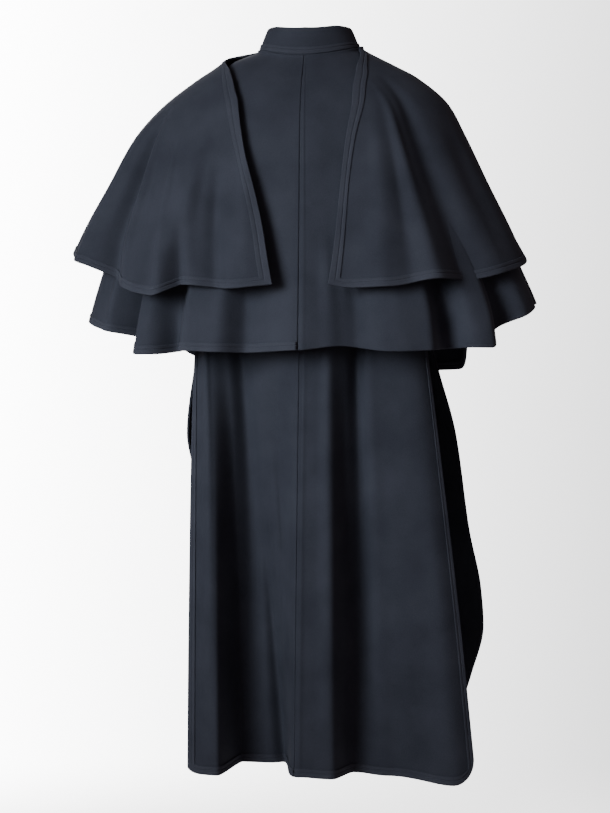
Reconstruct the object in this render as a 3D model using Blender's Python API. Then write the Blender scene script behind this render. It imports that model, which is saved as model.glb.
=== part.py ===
"""A wool cape coat, worn and hollow: a long coat with open side slits, a stand collar, a lower
cape all round and an upper cape over each shoulder.

Metres, +Z up. The wearer faces -Y, and the wearer's left is +X. The origin is where the wearer
holds the coat: in the middle of the neck, level with the collar's base at the sides.

A turn is an angle round the neck in degrees: 0 at the centre back, 90 at the wearer's left side,
-90 at the right side and 180 at the centre front. A drop is a height below the neck's edge.
"""

import math
from collections import namedtuple

import bpy
from mathutils import Vector

# Cloth
WALL = 0.0024            # thickness of a panel
BAND_WALL = 0.0010       # thickness of a stitched edge band
SEAM = 0.0003            # space left between two pieces that are sewn together
COLLAR_SEAM = 0.0008     # space between the collar and the coat's curved neck edge
HEM_BAND = 0.014         # width of a band along a hem
EDGE_BAND = 0.015        # width of a band along a front, back or slit edge
WOOL = (0.0185, 0.0215, 0.0340)
BAND_WOOL = (0.0230, 0.0265, 0.0400)

# Neck and collar
NECK_HALF_WIDTH = 0.0835
NECK_HALF_DEPTH = 0.0680
NECK_BACK_FALL = 0.0185  # how much lower the neck's edge lies at the back than at the sides
NECK_FRONT_FALL = 0.046  # how much lower it lies at the front than at the sides
COLLAR_LEAN = 0.013      # how far the collar's top lies inside its base
COLLAR_OPENING = 9.0     # half of the gap at the centre front, as a turn
COLLAR_BAND_BOTTOM = 0.0055
COLLAR_BAND_WIDTH = 0.012
COLLAR_LEAN_POWER = 1.3  # above 1, the collar leans in more towards its top
COLLAR_DEPTH_LEAN = 0.6  # share of the lean that its back and front take

# Capes
LOWER_CAPE_TOP = 0.0040  # a cape's top edge above the neck's edge, against the collar
UPPER_CAPE_TOP = 0.0070
LOWER_CAPE_LENGTH = 0.49
UPPER_CAPE_LENGTH = 0.39
CAPE_YOKE = 0.06         # drop below which a cape is longer or shorter from place to place
LOWER_CAPE_OPENING = 9.0
LOWER_CAPE_SWAY = 0.008  # how far the hem's centre back hangs to the right
CAPE_FOLD_POWER = 1.35   # how a fold deepens down a cape, 1 being evenly
CAPE_TOP_RADIUS = 0.085  # an upper cape's mean radius at its top, and what it gains below
CAPE_RADIUS_GAIN = 0.24
CAPE_ROUND_DROP = 0.25   # drop by which it has gained it

# Coat
COAT_LENGTH = 1.192      # centre back, from the neck's edge to the hem
SHOULDER_WIDTH = 0.185   # centre to shoulder point
SHOULDER_FALL = 0.075    # neck's edge to shoulder point
UNDERARM = 0.28          # drop where the side seam begins
SLIT_TOP = 0.42          # drop where the side seam ends and the slit opens
NECK_SHARE = 0.45        # share of a half panel's top edge that lies along the neck
YOKE = 0.13              # drop by which the top edge's shape has gone over into the panel's form
COAT_FOLD_POWER = 1.15
FRONT_LAP = 0.022        # how far each front reaches past the centre front
FRONT_LAP_RISE = 0.0042  # how far the upper front lies outside the lower one
FRONT_LAP_START = 0.075  # how far from the centre front the upper front begins to rise
FRONT_LAP_RAMP = 0.040   # width over which it rises

# One row for each level section of a cape: half widths to the left and right, depths to the back
# and front.
Section = namedtuple("Section", "drop left right back front")

# One row for each place round the collar: its height there.
CollarHeight = namedtuple("CollarHeight", "turn height")

COLLAR_HEIGHTS = (
    CollarHeight(0, 0.0520),
    CollarHeight(40, 0.0480),
    CollarHeight(70, 0.0400),
    CollarHeight(100, 0.0350),
    CollarHeight(180, 0.0400),
)

LOWER_CAPE_FORM = (
    Section(0.000, 0.0866, 0.0866, 0.0717, 0.0762),
    Section(0.004, 0.0870, 0.0870, 0.0721, 0.0766),
    Section(0.012, 0.1060, 0.0990, 0.0768, 0.0800),
    Section(0.020, 0.1270, 0.1120, 0.0820, 0.0850),
    Section(0.035, 0.1470, 0.1340, 0.0930, 0.0940),
    Section(0.055, 0.1750, 0.1670, 0.1060, 0.1050),
    Section(0.100, 0.2220, 0.2150, 0.1250, 0.1220),
    Section(0.150, 0.2580, 0.2440, 0.1370, 0.1350),
    Section(0.230, 0.3000, 0.2840, 0.1500, 0.1480),
    Section(0.300, 0.3290, 0.3180, 0.1600, 0.1580),
    Section(0.375, 0.3530, 0.3560, 0.1720, 0.1680),
    Section(0.450, 0.3740, 0.3860, 0.1850, 0.1780),
    Section(0.540, 0.3880, 0.4000, 0.2000, 0.1880),
)

UPPER_CAPE_FORM = (
    Section(0.000, 0.0894, 0.0894, 0.0745, 0.0789),
    Section(0.004, 0.0901, 0.0901, 0.0751, 0.0796),
    Section(0.012, 0.1210, 0.1020, 0.0850, 0.0880),
    Section(0.020, 0.1410, 0.1170, 0.0920, 0.0940),
    Section(0.035, 0.1630, 0.1460, 0.1030, 0.1050),
    Section(0.055, 0.1940, 0.1820, 0.1170, 0.1170),
    Section(0.100, 0.2530, 0.2330, 0.1370, 0.1350),
    Section(0.150, 0.2980, 0.2600, 0.1510, 0.1490),
    Section(0.230, 0.3430, 0.3000, 0.1680, 0.1650),
    Section(0.300, 0.3820, 0.3360, 0.1830, 0.1790),
    Section(0.340, 0.4000, 0.3550, 0.1930, 0.1880),
    Section(0.420, 0.4240, 0.3920, 0.2130, 0.2060),
)

# One row for each crest or trough of a hem: how far it lies outside the form, how far below the
# origin the hem hangs there, and the drop where the fold begins.
Fold = namedtuple("Fold", "turn out level start")

LOWER_CAPE_FOLDS = (
    Fold(-180, 0.000, 0.530, 0.10),
    Fold(-165, -0.012, 0.530, 0.14),
    Fold(-154, 0.012, 0.532, 0.14),
    Fold(-143, 0.010, 0.530, 0.12),
    Fold(-136, -0.022, 0.478, 0.12),
    Fold(-120, 0.008, 0.440, 0.16),
    Fold(-104, -0.008, 0.424, 0.20),
    Fold(-90, 0.000, 0.425, 0.20),
    Fold(-70, 0.004, 0.446, 0.20),
    Fold(-58, -0.030, 0.470, 0.16),
    Fold(-51, 0.012, 0.500, 0.12),
    Fold(-45, 0.010, 0.500, 0.12),
    Fold(-38, -0.030, 0.502, 0.14),
    Fold(-32, 0.012, 0.505, 0.14),
    Fold(-22, 0.010, 0.507, 0.18),
    Fold(-10, -0.014, 0.498, 0.20),
    Fold(0, 0.006, 0.505, 0.20),
    Fold(14, -0.012, 0.508, 0.20),
    Fold(22, 0.010, 0.507, 0.18),
    Fold(29, 0.012, 0.505, 0.14),
    Fold(34, -0.030, 0.505, 0.14),
    Fold(39, 0.012, 0.510, 0.12),
    Fold(44, 0.010, 0.510, 0.12),
    Fold(50, -0.026, 0.484, 0.16),
    Fold(64, 0.002, 0.466, 0.20),
    Fold(90, 0.000, 0.448, 0.20),
    Fold(106, -0.008, 0.444, 0.20),
    Fold(120, 0.010, 0.456, 0.16),
    Fold(132, -0.020, 0.470, 0.14),
    Fold(144, 0.012, 0.506, 0.12),
    Fold(156, -0.010, 0.530, 0.14),
    Fold(168, 0.004, 0.530, 0.14),
    Fold(180, 0.000, 0.530, 0.14),
)

UPPER_LEFT_FOLDS = (
    Fold(4, 0.000, 0.400, 0.08),
    Fold(14, 0.004, 0.406, 0.10),
    Fold(20, -0.006, 0.402, 0.12),
    Fold(27, -0.010, 0.398, 0.10),
    Fold(32, 0.014, 0.416, 0.08),
    Fold(38, 0.008, 0.410, 0.08),
    Fold(47, -0.008, 0.392, 0.12),
    Fold(61, 0.010, 0.358, 0.14),
    Fold(90, 0.000, 0.330, 0.14),
    Fold(108, -0.006, 0.342, 0.12),
    Fold(124, 0.010, 0.366, 0.10),
    Fold(138, -0.006, 0.390, 0.10),
    Fold(152, 0.008, 0.402, 0.10),
    Fold(176, 0.000, 0.400, 0.10),
)

UPPER_RIGHT_FOLDS = (
    Fold(-176, 0.000, 0.398, 0.10),
    Fold(-154, 0.008, 0.398, 0.10),
    Fold(-140, -0.006, 0.380, 0.10),
    Fold(-124, 0.010, 0.336, 0.10),
    Fold(-108, 0.000, 0.298, 0.12),
    Fold(-98, -0.004, 0.312, 0.13),
    Fold(-87, 0.000, 0.350, 0.14),
    Fold(-64, 0.006, 0.376, 0.14),
    Fold(-49, -0.012, 0.390, 0.08),
    Fold(-37, 0.012, 0.391, 0.06),
    Fold(-24, 0.006, 0.404, 0.10),
    Fold(-14, -0.004, 0.406, 0.12),
    Fold(-7, 0.002, 0.398, 0.08),
)

# A cape's tables, how far its top edge lies above the neck's edge, and its middle length.
Cape = namedtuple("Cape", "form folds top length")

LOWER_CAPE = Cape(LOWER_CAPE_FORM, LOWER_CAPE_FOLDS, LOWER_CAPE_TOP, LOWER_CAPE_LENGTH)

# One row for each height of an upper cape's back or front edge: the turn it lies at.
EdgeTurn = namedtuple("EdgeTurn", "drop back front")

UPPER_LEFT_EDGES = (
    EdgeTurn(0.000, 100, 150),
    EdgeTurn(0.012, 93, 151),
    EdgeTurn(0.022, 72, 152),
    EdgeTurn(0.035, 50, 153),
    EdgeTurn(0.057, 35, 155),
    EdgeTurn(0.094, 24, 159),
    EdgeTurn(0.180, 15, 165),
    EdgeTurn(0.285, 8.2, 169),
    EdgeTurn(UPPER_CAPE_LENGTH, 4.4, 172),
)

UPPER_RIGHT_EDGES = (
    EdgeTurn(0.000, -76, -150),
    EdgeTurn(0.012, -62, -151),
    EdgeTurn(0.022, -48, -152),
    EdgeTurn(0.035, -37, -153),
    EdgeTurn(0.063, -26.4, -156),
    EdgeTurn(0.100, -21.5, -160),
    EdgeTurn(0.153, -17.3, -164),
    EdgeTurn(0.248, -13.1, -168),
    EdgeTurn(UPPER_CAPE_LENGTH, -8.7, -172),
)

# One row for each height of a coat panel's outer edge: how far from the centre and how far to
# the panel's own side of the coat's middle it lies, and how round the panel is there, from 0 for
# a flat bow to 1 for a quarter of an ellipse.
SideEdge = namedtuple("SideEdge", "drop width depth round")

ARMHOLE_AND_SIDE_SEAM = (
    SideEdge(0.000, SHOULDER_WIDTH, 0.000, 1.0),
    SideEdge(0.060, 0.162, 0.034, 1.0),
    SideEdge(0.130, 0.150, 0.044, 1.0),
    SideEdge(0.200, 0.156, 0.034, 1.0),
    SideEdge(UNDERARM, 0.172, 0.000, 1.0),
    SideEdge(SLIT_TOP, 0.186, 0.000, 1.0),
)

BACK_LEFT_EDGE = ARMHOLE_AND_SIDE_SEAM + (
    SideEdge(0.520, 0.182, 0.070, 0.7),
    SideEdge(0.700, 0.181, 0.110, 0.4),
    SideEdge(0.950, 0.181, 0.130, 0.2),
    SideEdge(COAT_LENGTH, 0.180, 0.145, 0.1),
)

BACK_RIGHT_EDGE = ARMHOLE_AND_SIDE_SEAM + (
    SideEdge(0.520, 0.204, 0.066, 0.7),
    SideEdge(0.700, 0.229, 0.086, 0.5),
    SideEdge(0.950, 0.260, 0.102, 0.4),
    SideEdge(COAT_LENGTH, 0.286, 0.114, 0.3),
)

FRONT_LEFT_EDGE = ARMHOLE_AND_SIDE_SEAM + (
    SideEdge(0.520, 0.200, 0.030, 0.9),
    SideEdge(0.640, 0.214, 0.030, 0.8),
    SideEdge(0.720, 0.200, 0.034, 0.8),
    SideEdge(0.950, 0.184, 0.040, 0.7),
    SideEdge(COAT_LENGTH, 0.178, 0.045, 0.6),
)

FRONT_RIGHT_EDGE = ARMHOLE_AND_SIDE_SEAM + (
    SideEdge(0.520, 0.208, 0.030, 0.9),
    SideEdge(0.640, 0.241, 0.024, 0.8),
    SideEdge(0.800, 0.264, 0.020, 0.7),
    SideEdge(0.900, 0.284, 0.020, 0.6),
    SideEdge(0.960, 0.288, 0.020, 0.6),
    SideEdge(1.040, 0.268, 0.024, 0.6),
    SideEdge(COAT_LENGTH, 0.214, 0.030, 0.6),
)

# One row for each height of the coat's middle: how far behind and in front of the neck it lies.
Middle = namedtuple("Middle", "drop back front")

COAT_MIDDLE = (
    Middle(0.000, 0.0680, 0.0680),
    Middle(0.030, 0.0740, 0.0730),
    Middle(0.060, 0.0880, 0.0850),
    Middle(0.120, 0.1060, 0.1040),
    Middle(0.200, 0.1160, 0.1150),
    Middle(0.300, 0.1180, 0.1180),
    Middle(SLIT_TOP, 0.1160, 0.1160),
    Middle(0.520, 0.1240, 0.1200),
    Middle(0.700, 0.1380, 0.1270),
    Middle(0.950, 0.1550, 0.1360),
    Middle(COAT_LENGTH, 0.1680, 0.1460),
)

# One row for each crest or trough of the coat's hem: its place across the panel, from -1 at the
# right edge to 1 at the left edge, how far out it lies, and how far the hem is lifted.
HemFold = namedtuple("HemFold", "across out lift")

BACK_FOLDS = (
    HemFold(-1.00, 0.004, -0.010),
    HemFold(-0.86, 0.010, -0.013),
    HemFold(-0.45, -0.042, -0.002),
    HemFold(-0.26, -0.050, 0.002),
    HemFold(-0.18, 0.014, 0.000),
    HemFold(-0.02, 0.012, 0.002),
    HemFold(0.17, -0.085, 0.010),
    HemFold(0.54, -0.085, 0.010),
    HemFold(0.70, 0.010, 0.000),
    HemFold(1.00, 0.004, 0.000),
)

FRONT_FOLDS = (
    HemFold(-1.00, 0.000, 0.012),
    HemFold(-0.80, 0.014, 0.004),
    HemFold(-0.60, -0.028, 0.010),
    HemFold(-0.40, 0.014, 0.002),
    HemFold(-0.10, 0.000, 0.000),
    HemFold(0.10, 0.000, 0.000),
    HemFold(0.36, 0.014, 0.002),
    HemFold(0.58, -0.034, 0.008),
    HemFold(0.80, 0.012, 0.002),
    HemFold(1.00, 0.000, 0.006),
)
COAT_FOLD_START = 0.36   # drop where the coat's folds begin
CORNER_ACROSS = 0.84     # where the hem begins to round up to the edge
CORNER_START = 0.85      # drop below which the mesh's rows follow the hem
CORNER_RISE = {"back_left": 0.012, "back_right": 0.042, "front_left": 0.030, "front_right": 0.045}

# Rows of mesh points, as drops
LOWER_CAPE_ROWS = (0.0, 0.004, 0.012, 0.020, 0.035, 0.055, 0.10, 0.15, 0.20, 0.25, 0.30, 0.35, 0.40,
                   0.44, LOWER_CAPE_LENGTH - HEM_BAND, LOWER_CAPE_LENGTH)
UPPER_CAPE_ROWS = (0.0, 0.004, 0.012, 0.020, 0.035, 0.055, 0.10, 0.15, 0.20, 0.25, 0.30, 0.34,
                   UPPER_CAPE_LENGTH - HEM_BAND, UPPER_CAPE_LENGTH)
COAT_ROWS = (0.0, 0.02, 0.05, 0.09, 0.13, 0.18, 0.23, UNDERARM, 0.35, SLIT_TOP, 0.50, 0.60,
             0.70, 0.80, 0.90, 1.00, 1.10, COAT_LENGTH - HEM_BAND, COAT_LENGTH)

# Columns of mesh points
TURN_STEP = 9.0          # widest step round the lower cape
CAPE_STEP = 0.07         # widest step across an upper cape, as a share of it
COAT_STEP = 0.085        # widest step across half a coat panel, as a share of it
NECK_COLUMNS = 7         # steps from the centre of the neck to its side
BAND_SHARE = 0.06        # share of an upper cape's width that is kept for each edge band
COLUMN_GAP = 0.03        # least share of a panel between two columns
LAP_COLUMN = 1.15        # a column just clear of the front lap, in laps from the centre front
SHARP_CORNER = 50        # angle in degrees above which an edge isn't shaded smooth

# Small steps over which a surface's outward direction is found
SMALL_TURN = 0.2
SMALL_ACROSS = 0.002
SMALL_DOWN = 0.001


def remove_everything():
    """Empty the scene that the script is run in."""
    for item in list(bpy.data.objects):
        bpy.data.objects.remove(item, do_unlink=True)


def bracket(rows, value):
    """The rows on both sides of a value of their first column, and the share between them."""
    if value <= rows[0][0]:
        return 0, 0.0
    for index in range(len(rows) - 1):
        low, high = rows[index][0], rows[index + 1][0]
        if value <= high:
            return index, (value - low) / (high - low)
    return len(rows) - 2, 1.0


def waved(rows, column, value):
    """A table's column at a value, level at each row and rounded between: for crests and troughs."""
    index, share = bracket(rows, value)
    ease = 0.5 - 0.5 * math.cos(math.pi * share)
    first, second = getattr(rows[index], column), getattr(rows[index + 1], column)
    return first + (second - first) * ease


def slope(rows, column, index):
    """The slope of a table's column at a row, flat at its turning points so that it can't overshoot."""
    if index in (0, len(rows) - 1):
        near = 0 if index == 0 else index - 1
        rise = getattr(rows[near + 1], column) - getattr(rows[near], column)
        return rise / (rows[near + 1][0] - rows[near][0])
    before = (getattr(rows[index], column) - getattr(rows[index - 1], column)) / (
        rows[index][0] - rows[index - 1][0])
    after = (getattr(rows[index + 1], column) - getattr(rows[index], column)) / (
        rows[index + 1][0] - rows[index][0])
    if before * after <= 0:
        return 0.0
    return 2 * before * after / (before + after)


def flowing(rows, column, value):
    """A table's column at a value, on a smooth curve through the rows."""
    index, share = bracket(rows, value)
    span = rows[index + 1][0] - rows[index][0]
    first, second = getattr(rows[index], column), getattr(rows[index + 1], column)
    leave = slope(rows, column, index) * span
    arrive = slope(rows, column, index + 1) * span
    return (
        first * (2 * share ** 3 - 3 * share ** 2 + 1)
        + leave * (share ** 3 - 2 * share ** 2 + share)
        + second * (3 * share ** 2 - 2 * share ** 3)
        + arrive * (share ** 3 - share ** 2)
    )


def smooth_step(share):
    """0 below 0, 1 above 1 and a smooth rise between."""
    share = min(max(share, 0.0), 1.0)
    return share * share * (3 - 2 * share)


def neck_height(turn):
    """Height of the neck's edge, which falls from its sides to the back and to the front."""
    ahead = math.cos(math.radians(turn))
    fall = NECK_BACK_FALL if ahead > 0 else NECK_FRONT_FALL
    return -fall * ahead * ahead


def cape_point(cape, turn, down):
    """A point of a cape, down its middle length and stretched or shortened to reach its hem."""
    form, folds = cape.form, cape.folds
    top = neck_height(turn) + cape.top
    length = flowing(folds, "level", turn) + top
    stretched = max(0.0, down - CAPE_YOKE) / (cape.length - CAPE_YOKE)
    drop = down + (length - cape.length) * stretched
    angle = math.radians(turn)
    half_width = flowing(form, "left" if turn >= 0 else "right", drop)
    depth = flowing(form, "back" if math.cos(angle) >= 0 else "front", drop)
    outward = Vector((math.sin(angle) / half_width, math.cos(angle) / depth, 0)).normalized()
    start = waved(folds, "start", turn)
    growth = max(0.0, (drop - start) / (length - start)) ** CAPE_FOLD_POWER
    on_form = Vector((
        half_width * math.sin(angle),
        depth * math.cos(angle),
        top - drop,
    ))
    return on_form + outward * (waved(folds, "out", turn) * growth)


def lifted(face, across, drop):
    """The drop at a mesh point, less what the hem is lifted and rounded up to its corner there."""
    edges, folds, _ = face
    side = 1 if across >= 0 else -1
    rounding = max(0.0, (abs(across) - CORNER_ACROSS) / (1 - CORNER_ACROSS))
    corner = edges["corner"][side] * (1 - math.sqrt(max(0.0, 1 - rounding ** 2)))
    low = smooth_step((drop - CORNER_START) / (COAT_LENGTH - CORNER_START))
    return drop - (waved(folds, "lift", across) + corner) * low


def coat_point(face, across, drop):
    """A point of the coat's back or front, from -1 at its right edge to 1 at its left edge."""
    edges, folds, sign = face
    half = abs(across)
    side = 1 if across >= 0 else -1
    edge = edges[side]
    middle = flowing(COAT_MIDDLE, "back" if sign > 0 else "front", drop)
    depth = flowing(edge, "depth", drop) + SEAM / 2
    width = flowing(edge, "width", drop)
    roundness = flowing(edge, "round", drop)
    quarter = half * math.pi / 2
    reach = roundness * math.sin(quarter) + (1 - roundness) * half
    bow = roundness * math.cos(quarter) + (1 - roundness) * (1 - half ** 2)
    form = Vector((side * width * reach, sign * (depth + (middle - depth) * bow), 0))

    apart = (WALL + SEAM) / 2
    if half <= NECK_SHARE:
        neck_angle = half / NECK_SHARE * math.pi / 2
        turn = math.degrees(neck_angle) if sign > 0 else 180 - math.degrees(neck_angle)
        top = Vector((
            side * NECK_HALF_WIDTH * math.sin(neck_angle),
            sign * (NECK_HALF_DEPTH * math.cos(neck_angle) + apart * (half / NECK_SHARE) ** 4),
            neck_height(turn) - COLLAR_SEAM,
        ))
    else:
        along = (half - NECK_SHARE) / (1 - NECK_SHARE)
        neck_side = neck_height(90) - COLLAR_SEAM
        top = Vector((
            side * (NECK_HALF_WIDTH + (SHOULDER_WIDTH - NECK_HALF_WIDTH) * along),
            sign * apart,
            neck_side - (SHOULDER_FALL + neck_side) * along,
        ))
    formed = smooth_step(drop / YOKE)
    place = top.lerp(form, formed)

    height = top.z * (1 - smooth_step(drop / UNDERARM)) - drop
    growth = max(0.0, (drop - COAT_FOLD_START) / (COAT_LENGTH - COAT_FOLD_START))
    out = waved(folds, "out", across) * growth ** COAT_FOLD_POWER
    return Vector((place.x, place.y + sign * out, height))


def normal_at(point, across, down, step_across):
    """The outward direction of a surface, from its points a small step away."""
    along = point(across + step_across, down) - point(across - step_across, down)
    below = point(across, down + SMALL_DOWN) - point(across, down - SMALL_DOWN)
    return along.cross(below).normalized()


def spread(places, widest):
    """The given places, with more between them wherever two lie further apart than the widest step."""
    result = [places[0]]
    for low, high in zip(places, places[1:]):
        count = max(1, math.ceil((high - low) / widest - 1e-6))
        result += [low + (high - low) * step / count for step in range(1, count + 1)]
    return result


def wool(name, colour):
    """A matte wool cloth."""
    material = bpy.data.materials.new(name)
    material.use_nodes = True
    shader = material.node_tree.nodes["Principled BSDF"]
    shader.inputs["Base Color"].default_value = (*colour, 1.0)
    shader.inputs["Roughness"].default_value = 0.92
    shader.inputs["Metallic"].default_value = 0.0
    return material


def cloth(name, points, normals, cells, inside, outside, colour=WOOL):
    """A closed wall of cloth over the given cells of a grid, between two distances from its points."""
    corners = sorted({corner for i, j in cells
                      for corner in ((i, j), (i + 1, j), (i + 1, j + 1), (i, j + 1))})
    index = {corner: number for number, corner in enumerate(corners)}
    count = len(corners)
    vertices = [points[corner] + normals[corner] * outside for corner in corners]
    vertices += [points[corner] + normals[corner] * inside for corner in corners]
    faces = []
    rim = {}
    i, j = cells[0]
    along = points[i + 1, j + 1] - points[i, j]
    below = points[i, j + 1] - points[i + 1, j]
    faces_out = along.cross(below).dot(normals[i, j] + normals[i + 1, j + 1]) > 0
    for i, j in cells:
        ring = [index[corner] for corner in ((i, j), (i + 1, j), (i + 1, j + 1), (i, j + 1))]
        if not faces_out:
            ring = [ring[0], ring[3], ring[2], ring[1]]
        for face in ((ring[0], ring[1], ring[2]), (ring[0], ring[2], ring[3])):
            faces.append(face)
            faces.append([number + count for number in reversed(face)])
        for first, second in zip(ring, ring[1:] + ring[:1]):
            if rim.pop((second, first), None) is None:
                rim[(first, second)] = True
    for first, second in rim:
        faces.append([second, first, first + count, second + count])
    mesh = bpy.data.meshes.new(name)
    mesh.from_pydata([tuple(vertex) for vertex in vertices], [], faces)
    mesh.shade_smooth()
    mesh.set_sharp_from_angle(angle=math.radians(SHARP_CORNER))
    mesh.materials.append(wool(name + "_wool", colour))
    made = bpy.data.objects.new(name, mesh)
    bpy.context.collection.objects.link(made)
    return made


def grid(point, columns, rows, step_across, flip=1, slide=None):
    """The points and outward directions of a surface at each column and row, where a row may slide
    up or down the surface from column to column."""
    points = {}
    normals = {}
    for i, across in enumerate(columns):
        for j, row in enumerate(rows):
            down = slide(across, row) if slide else row
            points[i, j] = point(across, down)
            normals[i, j] = normal_at(point, across, down, step_across) * flip
    return points, normals


def all_cells(columns, rows):
    """Each cell of a grid."""
    return [(i, j) for i in range(len(columns) - 1) for j in range(len(rows) - 1)]


def on_top():
    """The distances of a band's two faces from the middle of the panel that it is stitched to."""
    inside = WALL / 2 + SEAM
    return inside, inside + BAND_WALL


def shifted(point, sideways):
    """A surface moved sideways, to leave a seam's space at the centre back."""
    return lambda across, down: point(across, down) + Vector((sideways, 0, 0))


def lower_cape_point(turn, down):
    """A point of the lower cape, which hangs a little to the right at the centre back."""
    behind = max(0.0, math.cos(math.radians(turn))) ** 2
    sway = LOWER_CAPE_SWAY * behind * down / LOWER_CAPE_LENGTH
    return cape_point(LOWER_CAPE, turn, down) - Vector((sway, 0, 0))


def build_lower_cape():
    """Both halves of the lower cape, joined at the centre back, each with its hem band."""
    turns = [fold.turn for fold in LOWER_CAPE_FOLDS]
    for name, side in (("left", 1), ("right", -1)):
        ends = (0, 180 - LOWER_CAPE_OPENING)
        own = sorted({abs(turn) for turn in turns if 0 < turn * side < ends[1]} | set(ends))
        columns = [side * turn for turn in spread(own, TURN_STEP)]
        if side < 0:
            columns.reverse()
        rows = LOWER_CAPE_ROWS
        surface = shifted(lower_cape_point, side * SEAM / 2)
        points, normals = grid(surface, columns, rows, SMALL_TURN)
        cells = all_cells(columns, rows)
        cloth(f"lower_cape_{name}", points, normals, cells, -WALL / 2, WALL / 2)
        front = len(columns) - 2 if side > 0 else 0
        band = [(i, j) for i, j in cells if j == len(rows) - 2 or i == front]
        cloth(f"lower_cape_band_{name}", points, normals, band, *on_top(), BAND_WOOL)


def upper_cape_surface(cape, edges):
    """An upper cape's surface, across from its back edge to its front edge."""
    def point(across, down):
        back = flowing(edges, "back", down)
        front = flowing(edges, "front", down)
        radius = CAPE_TOP_RADIUS + CAPE_RADIUS_GAIN * smooth_step(down / CAPE_ROUND_DROP)
        margin = EDGE_BAND / (abs(math.radians(front - back)) * radius)
        if across < BAND_SHARE:
            place = margin * across / BAND_SHARE
        elif across > 1 - BAND_SHARE:
            place = 1 - margin * (1 - across) / BAND_SHARE
        else:
            stretched = (across - BAND_SHARE) / (1 - 2 * BAND_SHARE)
            place = margin + (1 - 2 * margin) * stretched
        turn = back + (front - back) * place
        return cape_point(cape, turn, down)
    return point


def build_upper_capes():
    """An upper cape over each shoulder, with one band along its back edge, hem and front edge."""
    for name, folds, edges, flip in (
        ("left", UPPER_LEFT_FOLDS, UPPER_LEFT_EDGES, 1),
        ("right", UPPER_RIGHT_FOLDS, UPPER_RIGHT_EDGES, -1),
    ):
        cape = Cape(UPPER_CAPE_FORM, folds, UPPER_CAPE_TOP, UPPER_CAPE_LENGTH)
        surface = upper_cape_surface(cape, edges)
        first, last = edges[-1].back, edges[-1].front
        marks = sorted((fold.turn - first) / (last - first) for fold in folds)
        clear = BAND_SHARE + COLUMN_GAP
        inner = [mark for mark in marks if clear < mark < 1 - clear]
        columns = spread([0.0, BAND_SHARE, *inner, 1 - BAND_SHARE, 1.0], CAPE_STEP)
        rows = UPPER_CAPE_ROWS
        points, normals = grid(surface, columns, rows, SMALL_ACROSS, flip)
        cells = all_cells(columns, rows)
        cloth(f"upper_cape_{name}", points, normals, cells, -WALL / 2, WALL / 2)
        rim = (0, len(columns) - 2)
        band = [(i, j) for i, j in cells if i in rim or j == len(rows) - 2]
        cloth(f"upper_cape_band_{name}", points, normals, band, *on_top(), BAND_WOOL)


def coat_columns(folds, side, width):
    """The places of a half panel's mesh points across it, closer together along the neck."""
    slit_band = 1 - EDGE_BAND / width
    marks = sorted(fold.across * side for fold in folds)
    neck = spread([0.0, NECK_SHARE], NECK_SHARE / NECK_COLUMNS)
    below = [mark for mark in marks if NECK_SHARE + COLUMN_GAP < mark < slit_band - COLUMN_GAP]
    return neck[:-1] + spread([NECK_SHARE, *below, slit_band, 1.0], COAT_STEP)


def build_coat():
    """The coat's back in two halves and its two fronts, with bands along the slits and the hem."""
    rows = COAT_ROWS
    back = {1: BACK_LEFT_EDGE, -1: BACK_RIGHT_EDGE,
            "corner": {1: CORNER_RISE["back_left"], -1: CORNER_RISE["back_right"]}}
    front = {1: FRONT_LEFT_EDGE, -1: FRONT_RIGHT_EDGE,
             "corner": {1: CORNER_RISE["front_left"], -1: CORNER_RISE["front_right"]}}
    for name, edges, folds, sign in (("back", back, BACK_FOLDS, 1), ("front", front, FRONT_FOLDS, -1)):
        for half, side in (("left", 1), ("right", -1)):
            face = (edges, folds, sign)
            width = edges[side][-1].width
            places = coat_columns(folds, side, width)
            if sign < 0:
                lap = FRONT_LAP / width
                places = [-lap, -lap / 2, *places[:2], lap * LAP_COLUMN, *places[3:]]
            columns = sorted(side * place for place in places)

            def point(across, drop, face=face):
                return coat_point(face, across, drop)

            def slide(across, row, face=face):
                return lifted(face, across, row)

            surface = shifted(point, side * SEAM / 2)
            if sign < 0 and side < 0:
                surface = lapped(surface)
            points, normals = grid(surface, columns, rows, SMALL_ACROSS, sign, slide)
            cells = all_cells(columns, rows)
            cloth(f"{name}_{half}", points, normals, cells, -WALL / 2, WALL / 2)
            outer = len(columns) - 2 if side > 0 else 0
            free = lap if sign < 0 and side > 0 else columns[0] - 1
            band = [(i, j) for i, j in cells
                    if (j == len(rows) - 2 and columns[i] > free)
                    or (i == outer and rows[j] >= SLIT_TOP)]
            cloth(f"{name}_band_{half}", points, normals, band, *on_top(), BAND_WOOL)


def lapped(point):
    """The right front's middle moved out, so that it lies over the left front's."""
    def raised(across, drop):
        place = point(across, drop)
        over = smooth_step((place.x + FRONT_LAP_START) / FRONT_LAP_RAMP)
        return place - Vector((0, FRONT_LAP_RISE * over, 0))
    return raised


def collar_point(turn, share):
    """A point of the stand collar, from its base to its top edge."""
    angle = math.radians(turn)
    height = flowing(COLLAR_HEIGHTS, "height", abs(turn))
    lean = COLLAR_LEAN * max(share, 0.0) ** COLLAR_LEAN_POWER
    return Vector((
        (NECK_HALF_WIDTH - lean) * math.sin(angle),
        (NECK_HALF_DEPTH - lean * COLLAR_DEPTH_LEAN) * math.cos(angle),
        neck_height(turn) + height * share,
    ))


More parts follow.
